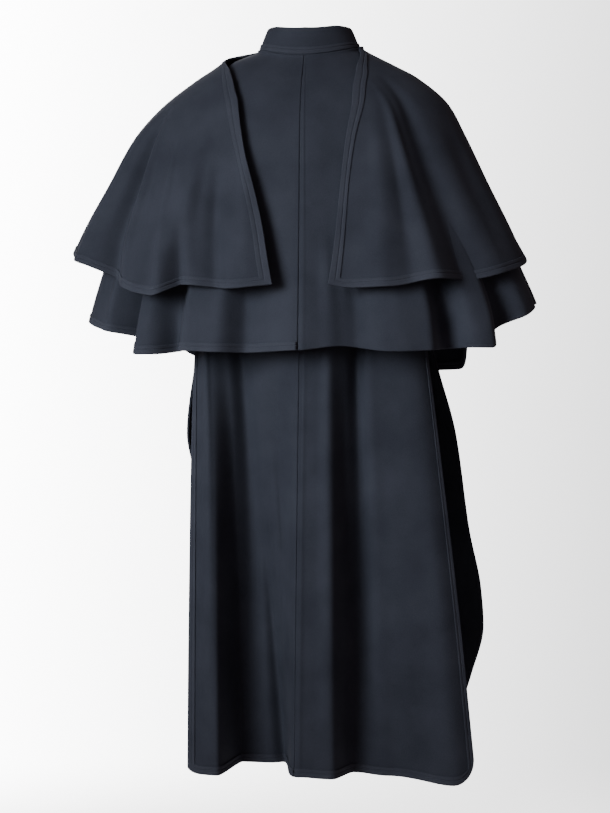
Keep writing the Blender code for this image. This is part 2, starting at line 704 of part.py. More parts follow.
def build_collar():
    """The stand collar, open at the centre front, with a band round its base."""
    end = 180 - COLLAR_OPENING
    half = 2 * NECK_COLUMNS - 1
    inner = [90 * number / NECK_COLUMNS for number in range(-half, half + 1)]
    columns = [-end, *inner, end]
    low = COLLAR_BAND_BOTTOM / COLLAR_HEIGHTS[0].height
    high = (COLLAR_BAND_BOTTOM + COLLAR_BAND_WIDTH) / COLLAR_HEIGHTS[0].height
    rows = [1.0, 0.7, high, low, 0.0]
    points, normals = grid(collar_point, columns, rows, SMALL_TURN, flip=-1)
    cells = all_cells(columns, rows)
    cloth("collar", points, normals, cells, -WALL / 2, WALL / 2)
    band = [(i, j) for i, j in cells if rows[j] == high]
    cloth("collar_band", points, normals, band, *on_top(), BAND_WOOL)


remove_everything()
build_coat()
build_lower_cape()
build_upper_capes()
build_collar()
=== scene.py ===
"""The looks of a wool cape coat: a long coat with open side slits, a stand collar, a lower cape
all round and an upper cape over each shoulder.

Metres, +Z up. The wearer faces -Y, and the wearer's left is +X. The origin is in the middle of
the neck, level with the collar's base at the sides.

A turn is an angle round the neck in degrees: 0 at the centre back, 90 at the wearer's left side,
-90 at the right side and 180 at the centre front. A drop is a height below the neck's edge.
"""

import math
from collections import namedtuple

import bpy
import numpy as np
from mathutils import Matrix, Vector


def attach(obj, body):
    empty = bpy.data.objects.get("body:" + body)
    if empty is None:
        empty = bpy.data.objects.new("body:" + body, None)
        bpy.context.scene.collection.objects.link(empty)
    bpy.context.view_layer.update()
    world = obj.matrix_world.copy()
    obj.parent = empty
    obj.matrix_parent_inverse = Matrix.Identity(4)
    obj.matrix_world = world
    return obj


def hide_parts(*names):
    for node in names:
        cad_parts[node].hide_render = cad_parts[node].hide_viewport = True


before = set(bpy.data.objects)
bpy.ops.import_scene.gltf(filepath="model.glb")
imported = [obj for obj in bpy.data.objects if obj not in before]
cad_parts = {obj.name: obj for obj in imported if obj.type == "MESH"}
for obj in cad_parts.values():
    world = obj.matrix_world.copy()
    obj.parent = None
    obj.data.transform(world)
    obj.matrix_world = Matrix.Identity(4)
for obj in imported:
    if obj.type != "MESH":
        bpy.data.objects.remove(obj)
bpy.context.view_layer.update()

# Cloth
WALL = 0.0024            # thickness of a panel
BAND_WALL = 0.0013       # thickness of a stitched edge band
SEAM = 0.0003            # space left between two pieces that are sewn together
NECK_OVERLAP = 0.0008    # how far the coat's neck edge reaches into the collar's base, sewn to it
HEM_BAND = 0.014         # width of a band along a hem
EDGE_BAND = 0.015        # width of a band along a front, back or slit edge

# Neck and collar
NECK_HALF_WIDTH = 0.0835
NECK_HALF_DEPTH = 0.0680
NECK_BACK_FALL = 0.0185  # how much lower the neck's edge lies at the back than at the sides
NECK_FRONT_FALL = 0.046  # how much lower it lies at the front than at the sides
COLLAR_LEAN = 0.013      # how far the collar's top lies inside its base
COLLAR_OPENING = 9.0     # half of the gap at the centre front, as a turn
COLLAR_BAND_BOTTOM = 0.0055
COLLAR_BAND_WIDTH = 0.012
COLLAR_LEAN_POWER = 1.3  # how the lean grows up the collar, 1 being evenly
COLLAR_DEPTH_LEAN = 0.6  # share of the lean at the back and at the front

# Capes
LOWER_CAPE_TOP = 0.0040  # the lower cape's top edge above the neck's edge, against the collar
UPPER_CAPE_TOP = 0.0070  # the same for an upper cape
LOWER_CAPE_LENGTH = 0.49
UPPER_CAPE_LENGTH = 0.39
CAPE_YOKE = 0.06         # drop below which a cape is longer or shorter from place to place
LOWER_CAPE_OPENING = 9.0  # half of the gap at the centre front, as a turn
LOWER_CAPE_RADIUS = 0.30  # mean radius, by which a band's width is made a turn
LOWER_CAPE_SWAY = 0.008  # how far the hem's centre back hangs to the right
CAPE_FOLD_POWER = 1.35   # how a fold deepens down a cape, 1 being evenly
CAPE_TOP_RADIUS = 0.085  # an upper cape's mean radius at its top, and what it gains below
CAPE_RADIUS_GAIN = 0.24
CAPE_ROUND_DROP = 0.25   # drop by which it has gained that
BAND_SHARE = 0.06        # share of an upper cape's width that is kept for each edge band

# Coat
COAT_LENGTH = 1.192      # centre back, from the neck's edge to the hem
SHOULDER_WIDTH = 0.185   # centre to shoulder point
SHOULDER_FALL = 0.075    # neck's edge to shoulder point
UNDERARM = 0.28          # drop where the side seam begins
SLIT_TOP = 0.42          # drop where the side seam ends and the slit opens
NECK_SHARE = 0.45        # share of a half panel's top edge that lies along the neck
NECK_EASE = 4            # how late along the neck a panel draws away from the other face's
YOKE = 0.13              # drop by which the top edge's shape has gone over into the panel's form
COAT_FOLD_POWER = 1.15   # how a fold deepens down the coat, 1 being evenly
COAT_FOLD_START = 0.36   # drop where the coat's folds begin
CORNER_ACROSS = 0.84     # where the hem begins to round up to the edge
CORNER_START = 0.85      # drop below which the hem's lifts and corners draw the cloth up
CORNER_RISE = {"back_left": 0.012, "back_right": 0.042, "front_left": 0.030, "front_right": 0.045}
FRONT_LAP = 0.022        # how far each front reaches past the centre front
FRONT_LAP_RISE = 0.0042  # how far the upper front lies outside the lower one
FRONT_LAP_START = 0.075  # how far right of the centre the upper front begins to rise
FRONT_LAP_RAMP = 0.040   # width over which it rises

# Creases
CREASE_TOP_WIDTH = 0.55  # a crease's width at its top, as a share of its width at its bottom
CREASE_WIDTH_GAIN = 0.45  # what the share gains on the way down

# Bands: places across one, from its edge inwards, and the line of stitches sunk into it
BAND_SHARES = np.array([0.0, 0.03, 0.08, 0.18, 0.32, 0.44, 0.50, 0.54,
                        0.58, 0.62, 0.66, 0.72, 0.82, 0.92, 0.97, 1.0])
STITCH_SHARE = 0.58
STITCH_WIDTH = 0.05
STITCH_DEPTH = 0.0009

# Points across and down each panel, and down each side edge of its band
Grid = namedtuple("Grid", "across down side")
LOWER_CAPE_GRID = Grid(215, 120, 110)
UPPER_CAPE_GRID = Grid(205, 115, 90)
COAT_GRID = Grid(92, 230, 150)
COLLAR_POINTS = 181      # points round the collar

# Points added close to an edge or a seam, where the cloth is rounded
EDGE_LENGTHS = (0.0004, 0.0012, 0.0024)
CAPE_SEAM_TURNS = np.array([0.12, 0.4, 0.8, 1.2, 1.6, 2.0, 2.4, 2.8, 3.2])
CAPE_EDGE_SHARES = np.array([0.0, 0.002, 0.006, 0.012, 0.022, 0.034, 0.047])
COAT_SEAM_WIDTHS = np.array([0.0004, 0.0012, 0.002, 0.003, 0.004, 0.005, 0.006, 0.007, 0.008])
COLLAR_END_TURNS = (0.25, 0.7, 1.5)
COLLAR_SHARES = np.array([1.0, 0.99, 0.97, 0.93, 0.85, 0.7, 0.55, 0.42,
                          0.33, 0.25, 0.18, 0.10, 0.05, 0.02, 0.0])

# Small steps, a turn or a share across and one down, by which a surface's direction is worked out
TURN_STEP = 0.2
SHARE_STEP = 0.002
DOWN_STEP = 0.001

# Wool
CLOUD_SHARE = 0.55       # how much of the shade comes from the wide clouds
FIBRE_SHARE = 0.45       # how much comes from the fibres
SHADE_LIMITS = (0.36, 0.66)  # mixes of them that are the dark and the light shade
NAP_STRENGTH = 0.26

# Studio
FLOOR = -1.56            # height of the floor
FLOOR_RADIUS = 3.2
FLOOR_RINGS = 24
FLOOR_SPOKES = 96
FLOOR_FADE_START = 1.7   # distance from the middle at which the floor begins to fade
FLOOR_FADE_END = 3.1     # and at which it has faded out
FLOOR_GLOW = 2.0         # how bright the floor looks, without lighting the coat
AMBIENT = 0.31           # strength of the light from all round
AMBIENT_COLOUR = (1.0, 0.80, 0.76, 1.0)
WALL_LEVEL = 1.55        # logarithm of the walls' brightness, before what is added along x, y and z
WALL_FALL = (6.5, 0.8, 0.7)
WALL_DARKEST = 0.75      # the least and the most that it may be
WALL_BRIGHTEST = 2.6
WALL_COLOUR = (1.0, 1.0, 1.01, 1.0)

# One row for each lamp: its place, the place it points at, its width, its power in watts, its
# colour, and the angle over which its beam spreads.
Lamp = namedtuple("Lamp", "name place target size power colour spread")

LAMPS = (
    Lamp("key_lamp", (1.62, 2.40, 0.10), (0.00, 0.05, -0.45), 1.5, 14.8, (0.94, 1.0, 1.0), 38.0),
    Lamp("front_lamp", (0.9, -2.8, 1.0), (0.0, 0.0, -0.4), 1.4, 80.0, (1.0, 1.0, 1.0), 180.0),
)

# Camera
CAMERA_AZIMUTH = 188.0   # from the front, so that 180 is straight behind the coat
CAMERA_DISTANCE = 4.0
CAMERA_HEIGHT = -0.5947
CAMERA_LENS = 105.43     # in millimetres, as is the sensor's height
CAMERA_SENSOR = 36.0
CAMERA_SHIFT = -5.0 / 813  # how far the view is moved sideways, as a share of its height

# One row for each level section of a cape: half widths to the left and right, depths to the back
# and front.
Section = namedtuple("Section", "drop left right back front")

# One row for each place round the collar: its height there.
CollarHeight = namedtuple("CollarHeight", "turn height")

COLLAR_HEIGHTS = (
    CollarHeight(0, 0.0520),
    CollarHeight(40, 0.0480),
    CollarHeight(70, 0.0400),
    CollarHeight(100, 0.0350),
    CollarHeight(180, 0.0400),
)

LOWER_CAPE_FORM = (
    Section(0.000, 0.0866, 0.0866, 0.0717, 0.0762),
    Section(0.004, 0.0870, 0.0870, 0.0721, 0.0766),
    Section(0.012, 0.1060, 0.0990, 0.0768, 0.0800),
    Section(0.020, 0.1270, 0.1120, 0.0820, 0.0850),
    Section(0.035, 0.1470, 0.1340, 0.0930, 0.0940),
    Section(0.055, 0.1750, 0.1670, 0.1060, 0.1050),
    Section(0.100, 0.2220, 0.2150, 0.1250, 0.1220),
    Section(0.150, 0.2580, 0.2440, 0.1370, 0.1350),
    Section(0.230, 0.3000, 0.2840, 0.1500, 0.1480),
    Section(0.300, 0.3290, 0.3180, 0.1600, 0.1580),
    Section(0.375, 0.3530, 0.3560, 0.1720, 0.1680),
    Section(0.450, 0.3740, 0.3860, 0.1850, 0.1780),
    Section(0.540, 0.3880, 0.4000, 0.2000, 0.1880),
)

UPPER_CAPE_FORM = (
    Section(0.000, 0.0894, 0.0894, 0.0745, 0.0789),
    Section(0.004, 0.0901, 0.0901, 0.0751, 0.0796),
    Section(0.012, 0.1210, 0.1020, 0.0850, 0.0880),
    Section(0.020, 0.1410, 0.1170, 0.0920, 0.0940),
    Section(0.035, 0.1630, 0.1460, 0.1030, 0.1050),
    Section(0.055, 0.1940, 0.1820, 0.1170, 0.1170),
    Section(0.100, 0.2530, 0.2330, 0.1370, 0.1350),
    Section(0.150, 0.2980, 0.2600, 0.1510, 0.1490),
    Section(0.230, 0.3430, 0.3000, 0.1680, 0.1650),
    Section(0.300, 0.3820, 0.3360, 0.1830, 0.1790),
    Section(0.340, 0.4000, 0.3550, 0.1930, 0.1880),
    Section(0.420, 0.4240, 0.3920, 0.2130, 0.2060),
)

# One row for each crest or trough of a hem: how far it lies outside the form, how far below the
# origin the hem hangs there, and the drop where the fold begins.
Fold = namedtuple("Fold", "turn out level start")

LOWER_CAPE_FOLDS = (
    Fold(-180, 0.000, 0.530, 0.10),
    Fold(-165, -0.012, 0.530, 0.14),
    Fold(-154, 0.012, 0.532, 0.14),
    Fold(-143, 0.010, 0.530, 0.12),
    Fold(-136, -0.022, 0.478, 0.12),
    Fold(-120, 0.008, 0.440, 0.16),
    Fold(-104, -0.008, 0.424, 0.20),
    Fold(-90, 0.000, 0.425, 0.20),
    Fold(-70, 0.004, 0.446, 0.20),
    Fold(-58, -0.030, 0.470, 0.16),
    Fold(-51, 0.012, 0.500, 0.12),
    Fold(-45, 0.010, 0.500, 0.12),
    Fold(-38, -0.030, 0.502, 0.14),
    Fold(-32, 0.012, 0.505, 0.14),
    Fold(-22, 0.010, 0.507, 0.18),
    Fold(-10, -0.014, 0.498, 0.20),
    Fold(0, 0.006, 0.505, 0.20),
    Fold(14, -0.012, 0.508, 0.20),
    Fold(22, 0.010, 0.507, 0.18),
    Fold(29, 0.012, 0.505, 0.14),
    Fold(34, -0.030, 0.505, 0.14),
    Fold(39, 0.012, 0.510, 0.12),
    Fold(44, 0.010, 0.510, 0.12),
    Fold(50, -0.026, 0.484, 0.16),
    Fold(64, 0.002, 0.466, 0.20),
    Fold(90, 0.000, 0.448, 0.20),
    Fold(106, -0.008, 0.444, 0.20),
    Fold(120, 0.010, 0.456, 0.16),
    Fold(132, -0.020, 0.470, 0.14),
    Fold(144, 0.012, 0.506, 0.12),
    Fold(156, -0.010, 0.530, 0.14),
    Fold(168, 0.004, 0.530, 0.14),
    Fold(180, 0.000, 0.530, 0.14),
)

UPPER_LEFT_FOLDS = (
    Fold(4, 0.000, 0.400, 0.08),
    Fold(14, 0.004, 0.406, 0.10),
    Fold(20, -0.006, 0.402, 0.12),
    Fold(27, -0.010, 0.398, 0.10),
    Fold(32, 0.014, 0.416, 0.08),
    Fold(38, 0.008, 0.410, 0.08),
    Fold(47, -0.008, 0.392, 0.12),
    Fold(61, 0.010, 0.358, 0.14),
    Fold(90, 0.000, 0.330, 0.14),
    Fold(108, -0.006, 0.342, 0.12),
    Fold(124, 0.010, 0.366, 0.10),
    Fold(138, -0.006, 0.390, 0.10),
    Fold(152, 0.008, 0.402, 0.10),
    Fold(176, 0.000, 0.400, 0.10),
)

UPPER_RIGHT_FOLDS = (
    Fold(-176, 0.000, 0.398, 0.10),
    Fold(-154, 0.008, 0.398, 0.10),
    Fold(-140, -0.006, 0.380, 0.10),
    Fold(-124, 0.010, 0.336, 0.10),
    Fold(-108, 0.000, 0.298, 0.12),
    Fold(-98, -0.004, 0.312, 0.13),
    Fold(-87, 0.000, 0.350, 0.14),
    Fold(-64, 0.006, 0.376, 0.14),
    Fold(-49, -0.012, 0.390, 0.08),
    Fold(-37, 0.012, 0.391, 0.06),
    Fold(-24, 0.006, 0.404, 0.10),
    Fold(-14, -0.004, 0.406, 0.12),
    Fold(-7, 0.002, 0.398, 0.08),
)

# One row for each soft crease: the drops where it starts and ends, its place across the panel at
# both, how far its middle bows aside, its half width at the bottom, how far it stands out (or
# sinks in), and the shares of its length over which it fades in and out.
Crease = namedtuple("Crease", "top bottom top_at bottom_at bend width depth fade_in fade_out")

UPPER_LEFT_CREASES = (
    Crease(0.090, 0.430, 70.0, 62.0, 0.0, 4.6, 0.0110, 0.40, 0.04),
    Crease(0.090, 0.430, 60.5, 49.4, 0.0, 4.3, -0.0200, 0.40, 0.04),
    Crease(0.110, 0.420, 54.5, 42.8, 0.0, 2.2, 0.0050, 0.40, 0.04),
    Crease(0.170, 0.340, 49.0, 39.0, 0.0, 0.9, 0.0013, 0.30, 0.30),
    Crease(0.120, 0.420, 43.6, 29.2, 0.0, 1.1, 0.0022, 0.30, 0.04),
    Crease(0.230, 0.430, 36.5, 29.0, 0.0, 2.4, 0.0060, 0.60, 0.03),
    Crease(0.250, 0.430, 31.5, 25.6, 0.0, 1.8, -0.0060, 0.60, 0.03),
    Crease(0.170, 0.430, 31.5, 24.0, 0.0, 2.6, 0.0075, 0.45, 0.04),
    Crease(0.170, 0.430, 25.0, 16.6, 0.0, 3.2, -0.0135, 0.45, 0.04),
    Crease(0.130, 0.430, 16.5, 8.6, 0.0, 3.0, 0.0050, 0.50, 0.04),
    Crease(0.160, 0.400, 88.0, 84.0, 1.5, 5.0, -0.0100, 0.50, 0.10),
    Crease(0.140, 0.400, 104.0, 101.0, -1.0, 4.0, 0.0070, 0.50, 0.10),
    Crease(0.120, 0.400, 122.0, 118.0, 0.0, 5.0, -0.0110, 0.50, 0.10),
    Crease(0.150, 0.400, 141.0, 137.0, 1.0, 4.0, 0.0060, 0.50, 0.10),
)

UPPER_RIGHT_CREASES = (
    Crease(0.070, 0.430, -32.0, -20.5, 0.0, 4.5, 0.0060, 0.50, 0.04),
    Crease(0.120, 0.430, -35.0, -29.0, 0.0, 2.8, -0.0040, 0.50, 0.04),
    Crease(0.040, 0.430, -37.6, -36.2, 0.0, 3.0, 0.0065, 0.30, 0.04),
    Crease(0.030, 0.430, -46.4, -47.5, 0.0, 6.5, -0.0085, 0.22, 0.04),
    Crease(0.100, 0.430, -68.0, -65.0, 0.0, 11.0, -0.0080, 0.50, 0.05),
    Crease(0.160, 0.400, -92.0, -90.0, 1.0, 5.0, -0.0060, 0.50, 0.10),
    Crease(0.140, 0.400, -110.0, -105.0, -1.0, 4.5, 0.0070, 0.50, 0.10),
    Crease(0.120, 0.400, -128.0, -123.0, 0.0, 5.0, -0.0110, 0.50, 0.10),
)

LOWER_CAPE_CREASES = (
    Crease(0.010, 0.520, -1.6, -1.0, 0.0, 0.45, 0.0009, 0.02, 0.02),
    Crease(0.280, 0.510, 19.8, 19.0, 0.0, 2.2, 0.0045, 0.50, 0.04),
    Crease(0.280, 0.510, 14.8, 13.6, 0.0, 2.8, -0.0100, 0.50, 0.04),
    Crease(0.280, 0.510, -7.4, -7.6, 0.0, 2.4, 0.0055, 0.50, 0.04),
    Crease(0.280, 0.510, -14.0, -14.6, 0.0, 3.0, -0.0110, 0.50, 0.04),
    Crease(0.320, 0.510, -24.0, -25.0, 0.0, 4.0, 0.0030, 0.50, 0.10),
    Crease(0.280, 0.510, -40.5, -42.0, 0.0, 3.4, -0.0150, 0.40, 0.04),
    Crease(0.280, 0.510, 38.2, 37.2, 0.0, 2.8, -0.0150, 0.35, 0.04),
    Crease(0.240, 0.510, 60.5, 58.5, 0.0, 3.0, 0.0100, 0.35, 0.04),
    Crease(0.240, 0.510, 53.0, 51.0, 0.0, 3.0, -0.0190, 0.35, 0.04),
    Crease(0.240, 0.500, 96.0, 94.0, 1.0, 3.6, -0.0090, 0.50, 0.05),
    Crease(0.240, 0.500, 128.0, 126.0, -1.0, 3.2, -0.0100, 0.50, 0.05),
    Crease(0.260, 0.500, 152.0, 150.0, 0.0, 3.4, 0.0050, 0.50, 0.10),
    Crease(0.240, 0.500, -88.0, -86.0, 1.0, 3.6, -0.0090, 0.50, 0.05),
    Crease(0.240, 0.500, -122.0, -119.0, 0.0, 3.2, -0.0100, 0.50, 0.05),
    Crease(0.260, 0.500, -154.0, -151.0, 0.0, 3.4, 0.0050, 0.50, 0.10),
)

BACK_CREASES = (
    Crease(0.020, 1.240, -0.034, -0.024, 0.0, 0.0085, 0.0010, 0.02, 0.02),
    Crease(0.400, 1.240, 0.760, 0.740, 0.0, 0.080, 0.0090, 0.12, 0.45),
    Crease(0.400, 1.240, 0.420, 0.420, 0.0, 0.140, -0.0260, 0.12, 0.60),
    Crease(0.400, 1.200, 0.140, 0.100, 0.0, 0.110, 0.0060, 0.30, 0.50),
    Crease(0.620, 1.240, 0.215, 0.035, 0.012, 0.045, 0.0075, 0.40, 0.04),
    Crease(0.700, 1.240, 0.330, 0.150, 0.0, 0.070, -0.0130, 0.50, 0.04),
    Crease(0.400, 1.240, -0.165, -0.175, 0.0, 0.050, 0.0070, 0.12, 0.30),
    Crease(0.400, 1.240, -0.320, -0.285, -0.020, 0.085, -0.0240, 0.12, 0.40),
    Crease(0.600, 1.240, -0.560, -0.540, 0.0, 0.110, 0.0040, 0.50, 0.05),
    Crease(0.620, 1.240, -0.740, -0.740, 0.0, 0.120, -0.0040, 0.50, 0.05),
)

FRONT_CREASES = (
    Crease(0.420, 1.230, 0.300, 0.330, 0.0, 0.100, -0.0140, 0.40, 0.05),
    Crease(0.500, 1.230, 0.560, 0.600, 0.0, 0.110, 0.0070, 0.50, 0.05),
    Crease(0.450, 1.230, -0.380, -0.400, 0.0, 0.110, -0.0130, 0.40, 0.05),
    Crease(0.500, 1.230, -0.640, -0.680, 0.0, 0.120, 0.0070, 0.50, 0.05),
)

# A cape's tables, how far its top edge lies above the neck's edge, and its middle length.
Cape = namedtuple("Cape", "form folds top length creases")

LOWER_CAPE = Cape(LOWER_CAPE_FORM, LOWER_CAPE_FOLDS, LOWER_CAPE_TOP, LOWER_CAPE_LENGTH,
                  LOWER_CAPE_CREASES)

# One row for each height of an upper cape's back or front edge: the turn it lies at.
EdgeTurn = namedtuple("EdgeTurn", "drop back front")

UPPER_LEFT_EDGES = (
    EdgeTurn(0.000, 100, 150),
    EdgeTurn(0.012, 93, 151),
    EdgeTurn(0.022, 72, 152),
    EdgeTurn(0.035, 50, 153),
    EdgeTurn(0.057, 35, 155),
    EdgeTurn(0.094, 24, 159),
    EdgeTurn(0.180, 15, 165),
    EdgeTurn(0.285, 8.2, 169),
    EdgeTurn(UPPER_CAPE_LENGTH, 4.4, 172),
)

UPPER_RIGHT_EDGES = (
    EdgeTurn(0.000, -76, -150),
    EdgeTurn(0.012, -62, -151),
    EdgeTurn(0.022, -48, -152),
    EdgeTurn(0.035, -37, -153),
    EdgeTurn(0.063, -26.4, -156),
    EdgeTurn(0.100, -21.5, -160),
    EdgeTurn(0.153, -17.3, -164),
    EdgeTurn(0.248, -13.1, -168),
    EdgeTurn(UPPER_CAPE_LENGTH, -8.7, -172),
)

# One row for each height of a coat panel's outer edge: how far from the centre and how far to
# the panel's own side of the coat's middle it lies, and how round the panel is there, from 0 for
# a flat bow to 1 for a quarter of an ellipse.
SideEdge = namedtuple("SideEdge", "drop width depth round")

ARMHOLE_AND_SIDE_SEAM = (
    SideEdge(0.000, SHOULDER_WIDTH, 0.000, 1.0),
    SideEdge(0.060, 0.162, 0.034, 1.0),
    SideEdge(0.130, 0.150, 0.044, 1.0),
    SideEdge(0.200, 0.156, 0.034, 1.0),
    SideEdge(UNDERARM, 0.172, 0.000, 1.0),
    SideEdge(SLIT_TOP, 0.186, 0.000, 1.0),
)

BACK_LEFT_EDGE = ARMHOLE_AND_SIDE_SEAM + (
    SideEdge(0.520, 0.182, 0.070, 0.7),
    SideEdge(0.700, 0.181, 0.110, 0.4),
    SideEdge(0.950, 0.181, 0.130, 0.2),
    SideEdge(COAT_LENGTH, 0.180, 0.145, 0.1),
)

BACK_RIGHT_EDGE = ARMHOLE_AND_SIDE_SEAM + (
    SideEdge(0.520, 0.204, 0.066, 0.7),
    SideEdge(0.700, 0.229, 0.086, 0.5),
    SideEdge(0.950, 0.260, 0.102, 0.4),
    SideEdge(COAT_LENGTH, 0.286, 0.114, 0.3),
)

FRONT_LEFT_EDGE = ARMHOLE_AND_SIDE_SEAM + (
    SideEdge(0.520, 0.200, 0.030, 0.9),
    SideEdge(0.640, 0.214, 0.030, 0.8),
    SideEdge(0.720, 0.200, 0.034, 0.8),
    SideEdge(0.950, 0.184, 0.040, 0.7),
    SideEdge(COAT_LENGTH, 0.178, 0.045, 0.6),
)

FRONT_RIGHT_EDGE = ARMHOLE_AND_SIDE_SEAM + (
    SideEdge(0.520, 0.208, 0.030, 0.9),
    SideEdge(0.640, 0.241, 0.024, 0.8),
    SideEdge(0.800, 0.264, 0.020, 0.7),
    SideEdge(0.900, 0.284, 0.020, 0.6),
    SideEdge(0.960, 0.288, 0.020, 0.6),
    SideEdge(1.040, 0.268, 0.024, 0.6),
    SideEdge(COAT_LENGTH, 0.214, 0.030, 0.6),
)

# One row for each height of the coat's middle: how far behind and in front of the neck it lies.
Middle = namedtuple("Middle", "drop back front")

COAT_MIDDLE = (
    Middle(0.000, 0.0680, 0.0680),
    Middle(0.030, 0.0740, 0.0730),
    Middle(0.060, 0.0880, 0.0850),
    Middle(0.120, 0.1060, 0.1040),
    Middle(0.200, 0.1160, 0.1150),
    Middle(0.300, 0.1180, 0.1180),
    Middle(SLIT_TOP, 0.1160, 0.1160),
    Middle(0.520, 0.1240, 0.1200),
    Middle(0.700, 0.1380, 0.1270),
    Middle(0.950, 0.1550, 0.1360),
    Middle(COAT_LENGTH, 0.1680, 0.1460),
)

# One row for each crest or trough of the coat's hem: its place across the panel, from -1 at the
# right edge to 1 at the left edge, how far out it lies, and how far the hem is lifted.
HemFold = namedtuple("HemFold", "across out lift")

BACK_FOLDS = (
    HemFold(-1.00, 0.004, -0.010),
    HemFold(-0.86, 0.010, -0.013),
    HemFold(-0.45, -0.042, -0.002),
    HemFold(-0.26, -0.050, 0.002),
    HemFold(-0.18, 0.014, 0.000),
    HemFold(-0.02, 0.012, 0.002),
    HemFold(0.17, -0.085, 0.010),
    HemFold(0.54, -0.085, 0.010),
    HemFold(0.70, 0.010, 0.000),
    HemFold(1.00, 0.004, 0.000),
)

FRONT_FOLDS = (
    HemFold(-1.00, 0.000, 0.012),
    HemFold(-0.80, 0.014, 0.004),
    HemFold(-0.60, -0.028, 0.010),
    HemFold(-0.40, 0.014, 0.002),
    HemFold(-0.10, 0.000, 0.000),
    HemFold(0.10, 0.000, 0.000),
    HemFold(0.36, 0.014, 0.002),
    HemFold(0.58, -0.034, 0.008),
    HemFold(0.80, 0.012, 0.002),
    HemFold(1.00, 0.000, 0.006),
)

COAT_EDGES = {
    "back_left": BACK_LEFT_EDGE,
    "back_right": BACK_RIGHT_EDGE,
    "front_left": FRONT_LEFT_EDGE,
    "front_right": FRONT_RIGHT_EDGE,
}

# A half panel of the coat: its side and face as signs, its tables, how far its hem's corner is
# rounded up, and whether it lies over the other front.
Panel = namedtuple("Panel", "side sign edge folds corner lapped creases")


# Each piece's cut, laid flat: the rectangle that it is cut from, the area of its cloth and the
# length of its band. The lengths are taken along its surface, and so are the coat's and the
# collar's areas. A cape's area is that of a ring sector. Left and right share one cut.
Cut = namedtuple("Cut", "width length area band")

CUTS = {
    "back": Cut(0.37, 1.23, 0.304, 1.14),
    "front": Cut(0.38, 1.23, 0.328, 1.06),
    "lower_cape": Cut(0.94, 0.57, 0.339, 1.54),
    "upper_cape": Cut(0.84, 0.54, 0.241, 1.83),
    "collar": Cut(0.475, 0.053, 0.0185, 0.46),
}


def rows_of(table, column):
    """A table's first column and the named one, as arrays."""
    return np.array([row[0] for row in table]), np.array([getattr(row, column) for row in table])


def bracket(places, value):
    """The row below each value, and the share of the way to the next row."""
    index = np.clip(np.searchsorted(places, value, side="right") - 1, 0, len(places) - 2)
    share = np.clip((value - places[index]) / (places[index + 1] - places[index]), 0.0, 1.0)
    return index, share


def waved(table, column, value):
    """Level at each row and a half cosine between: first + (second - first) (1 - cos pi share) / 2."""
    places, heights = rows_of(table, column)
    index, share = bracket(places, value)
    return heights[index] + (heights[index + 1] - heights[index]) * (0.5 - 0.5 * np.cos(np.pi * share))


def flowing(table, column, value):
    """A cubic between rows, whose slope at a row is the harmonic mean of its neighbours' and 0 at a
    turning point, so that the curve can't overshoot."""
    places, heights = rows_of(table, column)
    rise = np.diff(heights) / np.diff(places)
    before, after = rise[:-1], rise[1:]
    same = before * after > 0
    total = np.where(same, before + after, 1.0)
    slopes = np.concatenate(([rise[0]], np.where(same, 2 * before * after / total, 0.0), [rise[-1]]))
    index, share = bracket(places, value)
    span = places[index + 1] - places[index]
    return (
        heights[index] * (2 * share ** 3 - 3 * share ** 2 + 1)
        + slopes[index] * span * (share ** 3 - 2 * share ** 2 + share)
        + heights[index + 1] * (3 * share ** 2 - 2 * share ** 3)
        + slopes[index + 1] * span * (share ** 3 - share ** 2)
    )


def smooth_step(share):
    """0 below 0, 1 above 1, and 3 s^2 - 2 s^3 between."""
    share = np.clip(share, 0.0, 1.0)
    return share * share * (3 - 2 * share)


def stack(x, y, z):
    """Three arrays of coordinates as one array of points."""
    return np.stack(np.broadcast_arrays(x, y, z), axis=-1)


def creases_out(creases, across, drop):
    """How far a panel's creases lift or sink it: the sum of depth exp(-(distance / width)^2) for
    each crease's line, which bows aside by half a sine wave and fades in below its top and out
    above its bottom."""
    total = np.zeros(np.broadcast(across, drop).shape)
    for crease in creases:
        share = (drop - crease.top) / (crease.bottom - crease.top)
        bend = crease.bend * np.sin(np.pi * np.clip(share, 0.0, 1.0))
        line = crease.top_at + (crease.bottom_at - crease.top_at) * share + bend
        width = crease.width * (CREASE_TOP_WIDTH + CREASE_WIDTH_GAIN * np.clip(share, 0.0, 1.0))
        fade = smooth_step(share / crease.fade_in) * smooth_step((1 - share) / crease.fade_out)
        total = total + crease.depth * fade * np.exp(-((across - line) / width) ** 2)
    return total


def neck_height(turn):
    """Height of the neck's edge: minus the fall times the squared cosine of the turn."""
    ahead = np.cos(np.radians(turn))
    return -np.where(ahead > 0, NECK_BACK_FALL, NECK_FRONT_FALL) * ahead * ahead


